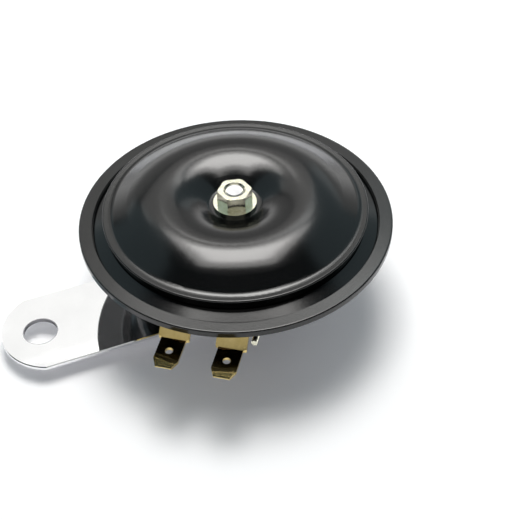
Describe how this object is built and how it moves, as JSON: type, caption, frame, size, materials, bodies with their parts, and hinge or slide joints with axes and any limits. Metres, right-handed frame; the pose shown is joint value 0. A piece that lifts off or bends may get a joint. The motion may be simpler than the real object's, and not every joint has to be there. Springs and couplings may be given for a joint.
{
  "type": "car horn",
  "caption": "Round disc horn with a pressed tone disc, rolled rim, two blade terminals and a flat mounting strap.",
  "frame": {"origin": "centre of the strap's mounting hole, on the strap's lower face", "axes": "+X from the mounting hole to the horn's axis, +Z along the horn's axis, the way it sounds"},
  "size_m": [0.1082, 0.0871, 0.0361],
  "materials": {
    "black_paint": "satin black paint",
    "mirror_stainless": "mirror polished stainless steel",
    "zinc_plate": "pale zinc plating",
    "bare_steel": "turned and rolled steel",
    "terminal_brass": "rolled brass",
    "phenolic": "dark phenolic",
    "bobbin_plastic": "natural nylon",
    "copper_winding": "enamelled copper wire",
    "contact_metal": "tungsten contact",
    "gasket_paper": "oiled gasket paper"
  },
  "bodies": {
    "horn_body": {"housing": "black_paint", "diaphragm": "black_paint", "mounting_strap": "mirror_stainless", "rear_nut": "zinc_plate", "rear_washer": "zinc_plate", "adjusting_screw": "zinc_plate", "adjusting_nut": "zinc_plate", "block_rivet": "zinc_plate", "pole_core": "bare_steel", "coil_cover_plate": "bare_steel", "clamp_plate": "bare_steel", "breaker_leaf": "bare_steel", "terminal_left": "terminal_brass", "terminal_right": "terminal_brass", "contact_plate": "terminal_brass", "breaker_rivets": "terminal_brass", "terminal_block": "phenolic", "lower_insulator": "phenolic", "contact_insulator": "phenolic", "upper_insulator": "phenolic", "coil_bobbin": "bobbin_plastic", "coil_winding": "copper_winding", "fixed_contact": "contact_metal", "diaphragm_gasket": "gasket_paper"},
    "vibrator": {"armature": "bare_steel", "backing_washer": "bare_steel", "pusher_collar": "phenolic", "tone_spacer": "bare_steel", "tone_disc": "black_paint", "front_washer": "zinc_plate", "front_nut": "zinc_plate"},
    "breaker": {"breaker_arm": "terminal_brass", "moving_contact": "contact_metal"}
  },
  "joints": [
    {"name": "vibrator_slide", "type": "slide", "parent": "horn_body", "child": "vibrator", "axis": [0, 0, -1], "range_m": [0, 0.0005], "stiffness_N_per_m": 6000, "springref_m": -0.0003, "deforming": ["diaphragm"]},
    {"name": "breaker_hinge", "type": "hinge", "parent": "horn_body", "child": "breaker", "pos_m": [0.05262, 0.02088, 0.01295], "axis": [0.9848, 0.1736, 0], "range_deg": [0, 2.75], "deforming": ["breaker_leaf"]}
  ],
  "couplings": [
    {"joint": "breaker_hinge", "follows": "vibrator_slide", "rad_per_m": 95}
  ]
}
